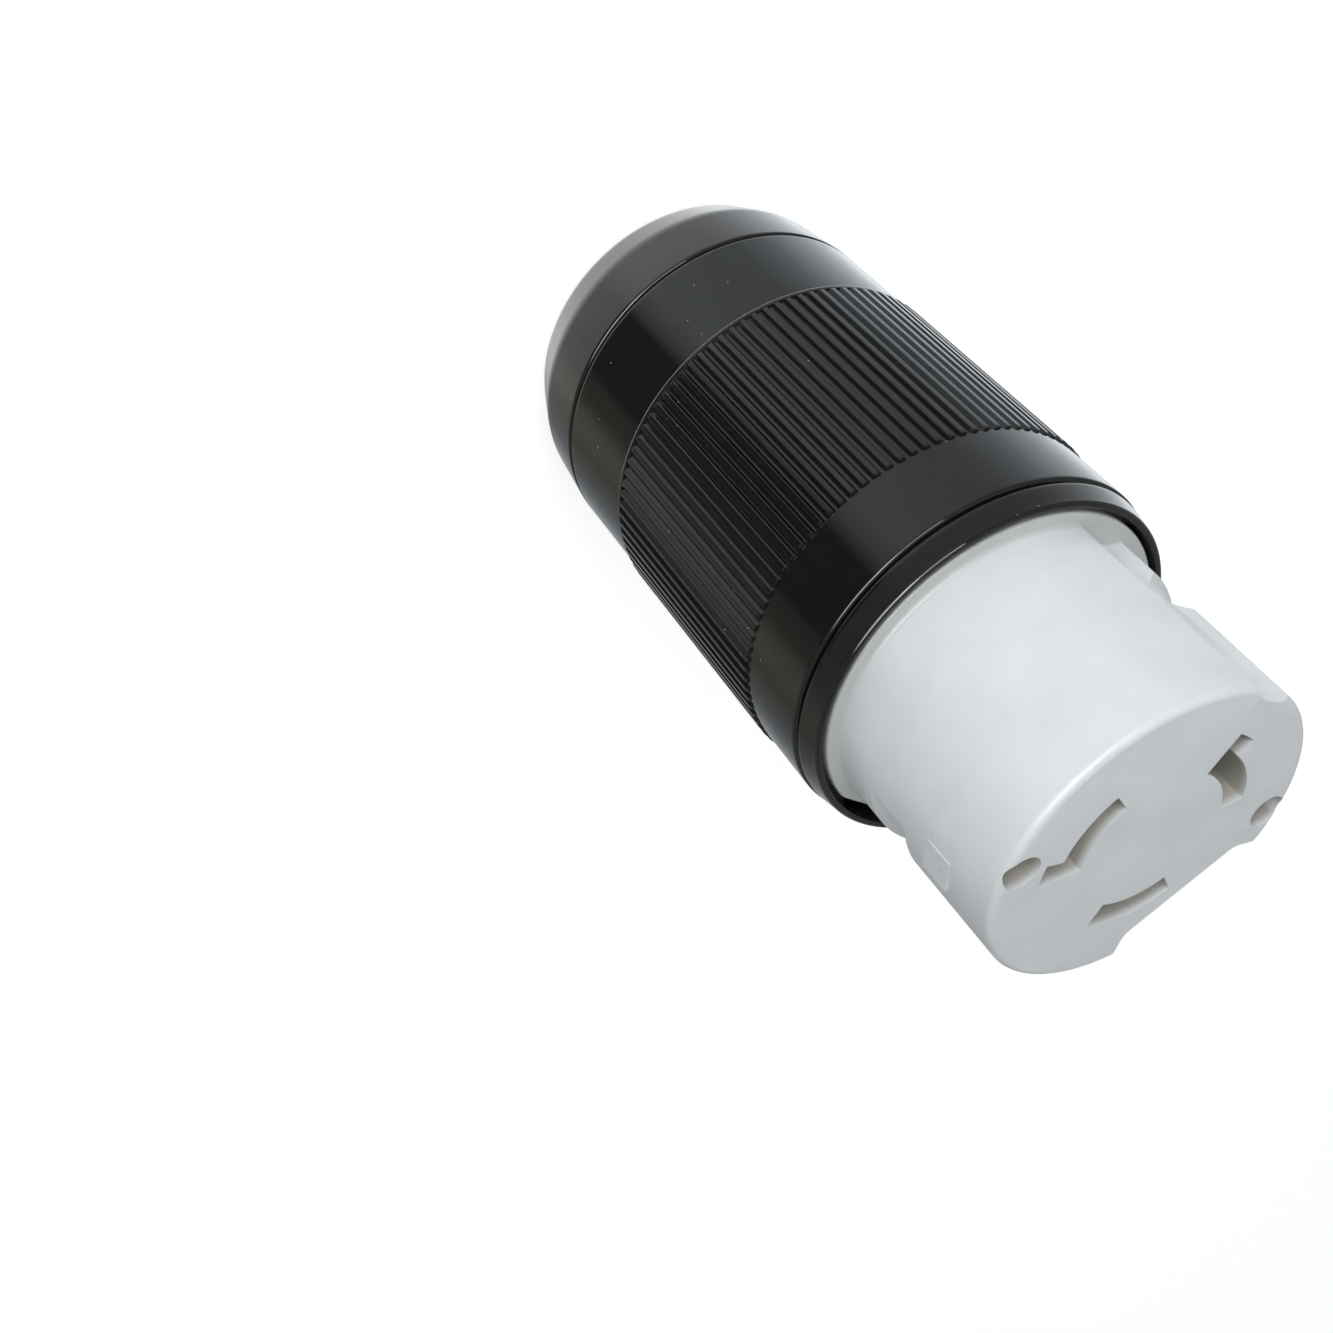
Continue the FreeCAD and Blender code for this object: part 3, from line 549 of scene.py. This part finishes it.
def makeNose():
    piece = lathe("nose", noseProfile(), nose["segments"])
    carve(piece, [makeLug(nose["lugAzimuth"] + turn) for turn in (0, 180)], "UNION")
    over = nose["top"] + nose["beyond"]
    tools = channelTools(over) + [prism("recess", recessOutline(), nose["flangeTop"], over)]
    carve(piece, tools + slotTools(over) + wellTools(over) + flatTools())
    easeEdges(piece, nose["edge"], nose["edgeAngle"])
    setMaterial(piece, materials["white_nylon"])
    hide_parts("contact_body")
    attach(piece, "connector")
    print("nose:", len(piece.data.polygons), "faces")


makeNose()

# Black barrel: two grooves, the ribbed band and the bevelled rear end

barrel = {
    "ribs": 96, "tip": 31.4, "valley": 30.7, "ribTop": 79.2, "ribBottom": 38.2,
    # shares of a rib's pitch and, for the drop, of its height
    "tipHalf": 0.2, "valleyHalf": 0.17, "cornerShare": 0.035, "cornerDrop": 0.07, "flatShare": 0.03,
    # how the ribs run out, as (height past the end, radius past the band, share of the ribs)
    "ribFront": ((0.02, 0, 0), (0, -0.05, 0.2), (-0.02, 0, 0.75), (-0.35, 0, 1.0), (-0.8, 0, 1.0)),
    "ribRear": ((0.5, 0, 1.0), (0.2, 0.1, 0.9), (0, -0.1, 0.1)),
    "frontBand": 31.0, "rearBand": 30.9,
    "lipTop": 96.6, "lipRadius": 30.1, "lipRear": 30.7, "lipEdge": 0.6, "lipDraft": 0.06,
    "mouth": 28.9, "mouthEdge": ((-0.4, 0), (-0.1, 0.1)),
    "frontGroove": 92.2, "rearGroove": 19.2, "grooveWidth": 0.7, "grooveDepth": 0.5,
    # one side of a groove, as (out from its half width, share of its depth)
    "grooveSide": ((0.25, 0), (0.12, 0.06), (0, 0.22), (-0.08, 0.48), (-0.14, 0.8)),
    # the thin ring behind the ribs, as (distance behind them, share of its rise)
    "ringRise": 0.3, "ringShape": ((0.12, 0.7), (0.35, 1), (0.72, 1), (1.02, 0.6), (1.2, 0)),
    "bevelHeight": 7.4, "bevelRadius": 29.75, "bevelTurn": ((1.2, 0.12), (0.4, 0), (-0.4, -0.25)),
    "tailRadius": 26.9, "tailEdge": ((1.35, 0.45), (0.6, 0.1), (0.15, -0.45), (0, -1.1)),
    "cordHole": 15.0, "holeEdge": 0.3, "endWall": 5.0, "bore": 27.6, "shoulder": 90.3,
    "straight": 0.4, "bevelEnds": (0.08, 0.92),
}


# One rib as (share of the pitch, height from 0 in the valley to 1 on the tip)
def ribProfile():
    tip, foot = barrel["tipHalf"], 0.5 - barrel["valleyHalf"]
    corner, drop = barrel["cornerShare"], barrel["cornerDrop"]
    half = [(tip - corner - barrel["flatShare"], 1.0), (tip - corner, 1.0), (tip, 1 - drop),
            (foot, drop), (foot + corner, 0.0)]
    return [(-share, height) for share, height in reversed(half)] + half


# Rings as (height, radius, share of the rib's shape), from the mouth back and round to the inside
def barrelRings():
    b = barrel
    front, rear, straight = b["frontBand"], b["rearBand"], b["straight"]
    halfGroove = b["grooveWidth"] / 2

    def around(height, radius, steps):
        return [(height + up, radius + out, 0) for up, out in steps]

    def groove(height, before, after):
        side = [(halfGroove + out, -share * b["grooveDepth"]) for out, share in b["grooveSide"]]
        other = [(-up, out) for up, out in reversed(side)]
        bottom = (height, before - b["grooveDepth"], 0)
        return around(height, before, side) + [bottom] + around(height, after, other)

    rings = around(b["lipTop"], b["mouth"], b["mouthEdge"])
    lipMiddle = (b["lipTop"] - b["lipEdge"], b["lipRadius"] - b["lipEdge"])
    rings += around(*lipMiddle, arc(b["lipEdge"], 0, 90, 15))

    # rings just inside the ends of a plain stretch keep its gloss straight
    reach = halfGroove + b["grooveSide"][0][0] + straight
    rings += [(b["lipTop"] - b["lipEdge"] - straight, b["lipRadius"] + b["lipDraft"], 0),
              (b["frontGroove"] + reach, b["lipRear"] - b["lipDraft"], 0)]
    rings += groove(b["frontGroove"], b["lipRear"], front)
    rings += [(b["frontGroove"] - reach, front, 0), (b["ribTop"] + straight, front, 0)]

    rings += [(b["ribTop"] + up, front + out, share) for up, out, share in b["ribFront"]]
    rings += [(b["ribBottom"] + up, rear + out, share) for up, out, share in b["ribRear"]]
    ring = [(-behind, share * b["ringRise"]) for behind, share in b["ringShape"]]
    rings += around(b["ribBottom"], rear, ring)
    rings += [(b["ribBottom"] + ring[-1][0] - straight, rear, 0),
              (b["rearGroove"] + reach, rear, 0)]
    rings += groove(b["rearGroove"], rear, rear)

    bevel = around(b["bevelHeight"], b["bevelRadius"], b["bevelTurn"])
    tail = around(0, b["tailRadius"], b["tailEdge"])
    low, radius, _ = bevel[0]
    slope = (rear - radius) / (b["rearGroove"] - reach - low)
    rings += [(b["rearGroove"] - reach, rear - slope * straight, 0),
              (low + straight, radius + slope * straight, 0)]
    rings += bevel
    rings += [tuple(start + (end - start) * share for start, end in zip(bevel[-1], tail[0]))
              for share in b["bevelEnds"]]
    rings += tail
    hole, edge, wall = b["cordHole"], b["holeEdge"], b["endWall"]
    rings += [(0, hole + edge, 0), (edge, hole, 0), (wall, hole, 0), (wall, b["bore"], 0),
              (b["shoulder"], b["bore"], 0), (b["shoulder"], b["mouth"], 0)]
    return rings


def makeBarrel():
    ribs, shape, rings = barrel["ribs"], ribProfile(), barrelRings()
    pitch = 360.0 / ribs
    count = ribs * len(shape)
    verts, faces = [], []
    for height, plain, share in rings:
        for rib in range(ribs):
            for turn, rise in shape:
                ribbed = barrel["valley"] + (barrel["tip"] - barrel["valley"]) * rise
                radius = ribbed * share + plain * (1 - share)
                verts.append(polar(radius, (rib + turn) * pitch, height))
    for ring in range(len(rings)):
        near, far = ring * count, (ring + 1) % len(rings) * count
        faces += [(near + i, near + (i + 1) % count, far + (i + 1) % count, far + i)
                  for i in range(count)]
    piece = addPiece("barrel", verts, faces)
    turnOutward(piece)
    smoothPiece(piece, sharpAngle["barrel"])
    setMaterial(piece, materials["black_nylon"])
    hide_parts("housing", "housing_tail")
    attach(piece, "connector")
    print("barrel:", len(piece.data.polygons), "faces")


makeBarrel()

# Floor, world and lamps

stageLook = {
    "size": 3.0, "drop": 0.05, "floorColour": 0.6, "floorRoughness": 0.9, "cameraLift": 0.68,
    "worldLight": (0.38, 0.44), "worldAim": (-0.2, 0.9, 0.0),
    # the gloss mirrors the ring around it, brighter below and, over the horizon, a window
    "mirrorTop": 3.0, "mirrorDown": 1.45, "downHeights": (-0.78, -0.95), "horizon": (-0.5, -0.2),
    "window": {"azimuth": 160.0, "height": 32.0, "edge": (0.9, 0.95), "strength": 9.0},
    # the ring as (compass degrees, brightness)
    "mirrorRing": ((-180, 0.12), (-165, 0.12), (-162, 0.24), (-148, 0.28), (-138, 0.5),
                   (-128, 0.52), (-115, 0.33), (-91, 0.35), (-71, 0.45), (-45, 0.5), (-31, 0.65),
                   (-11, 1.6), (9, 1.45), (29, 1.25), (49, 0.85), (69, 0.65), (89, 0.75),
                   (109, 0.9), (129, 1.0), (143, 0.65), (152, 0.12), (180, 0.12)),
    "warmFrom": -163, "warmTo": -100, "warmTint": (1.0, 0.93, 0.76), "coolTint": (0.9, 0.96, 1.0),
}
lamps = {
    "key": {"place": (-0.394, 0.523, 0.42), "size": 0.5, "power": 3.75},
    "top": {"place": (0.15, 0.1, 0.8), "size": 0.6, "power": 0.3},
}
lampAim = (0, 0, 0.07)


# White to the camera, with the part's shadow, and open to the gloss and to a view from below
def makeFloor():
    half, low = stageLook["size"] / 2, -stageLook["drop"] * mm
    corners = [(-half, -half, low), (half, -half, low), (half, half, low), (-half, half, low)]
    floor = addPiece("floor", corners, [(0, 1, 2, 3)])
    material = bpy.data.materials.new("floorWhite")
    make = Maker(material)
    shade = stageLook["floorColour"]
    make.fill(make.shader, Roughness=stageLook["floorRoughness"],
              **{"Base Color": (shade, shade, shade, 1.0)})
    path = make.add("LightPath").outputs
    lift = make.reckon("MULTIPLY", path["Is Camera Ray"], stageLook["cameraLift"])
    seen = make.add("AddShader")
    make.join(make.shader.outputs["BSDF"], seen.inputs[0])
    make.join(make.add("Emission", Strength=lift).outputs["Emission"], seen.inputs[1])
    back = make.add("NewGeometry").outputs["Backfacing"]
    passing = make.reckon("MAXIMUM", path["Is Glossy Ray"], back)
    clear = make.add("BsdfTransparent").outputs["BSDF"]
    make.fill(make.tree.nodes["Material Output"],
              Surface=make.mixShaders(passing, seen.outputs["Shader"], clear))
    setMaterial(floor, material)


# Plain soft light for the part, white for the camera and through the clear, and the lighter
# and darker sides of a studio for the gloss
def makeWorld():
    look, window = stageLook, stageLook["window"]
    world = bpy.data.worlds.new("studio")
    scene.world = world
    make = Maker(world)
    direction = make.add("TexCoord").outputs["Generated"]
    parts = make.add("SeparateXYZ", Vector=direction).outputs

    def shine(strength, colour=white):
        return make.add("Background", Strength=strength, Color=colour).outputs[0]

    def lies(aim, *ends, low=0.0, high=1.0):
        return make.spread(make.reckonVector("DOT_PRODUCT", direction, aim), *ends, low, high, True)

    side = lies(Vector(look["worldAim"]).normalized(), -1.0, 1.0,
                low=look["worldLight"][0], high=look["worldLight"][1])
    light = make.fill(make.tree.nodes["Background"], Color=white, Strength=side).outputs[0]

    stops = []
    for degrees, bright in look["mirrorRing"]:
        tint = look["warmTint" if look["warmFrom"] < degrees < look["warmTo"] else "coolTint"]
        colour = tuple(bright / look["mirrorTop"] * part for part in tint)
        stops.append(((degrees + 180) / 360, colour))
    compass = make.reckon("ARCTAN2", parts["Y"], parts["X"])
    ring = make.ramp(make.spread(compass, -math.pi, math.pi), stops)
    down = make.spread(parts["Z"], *look["downHeights"], smooth=True)
    lower = make.mixShaders(down, shine(look["mirrorTop"], ring), shine(look["mirrorDown"]))

    height, azimuth = math.radians(window["height"]), math.radians(window["azimuth"])
    toward = (math.cos(height) * math.cos(azimuth), math.cos(height) * math.sin(azimuth),
              math.sin(height))
    upper = make.mixShaders(lies(toward, *window["edge"]), light, shine(window["strength"]))
    mirrored = make.mixShaders(make.spread(parts["Z"], *look["horizon"], smooth=True), lower, upper)

    path = make.add("LightPath").outputs
    onPart = make.mixShaders(path["Is Glossy Ray"], light, mirrored)
    plain = make.reckon("MAXIMUM", path["Is Camera Ray"], path["Is Transmission Ray"])
    make.fill(make.tree.nodes["World Output"], Surface=make.mixShaders(plain, onPart, shine(1.0)))


def makeLamp(name, facts):
    data = bpy.data.lights.new(name, "AREA")
    data.shape = "SQUARE"
    data.size = facts["size"]
    data.energy = facts["power"]
    item = bpy.data.objects.new(name, data)
    item.location = facts["place"]
    aim = Vector(lampAim) - item.location
    item.rotation_euler = aim.to_track_quat("-Z", "Y").to_euler()
    scene.collection.objects.link(item)


makeFloor()
makeWorld()
for lampName, lampFacts in lamps.items():
    makeLamp(lampName, lampFacts)
scene.view_settings.view_transform = "Standard"
print("stage and lamps set")
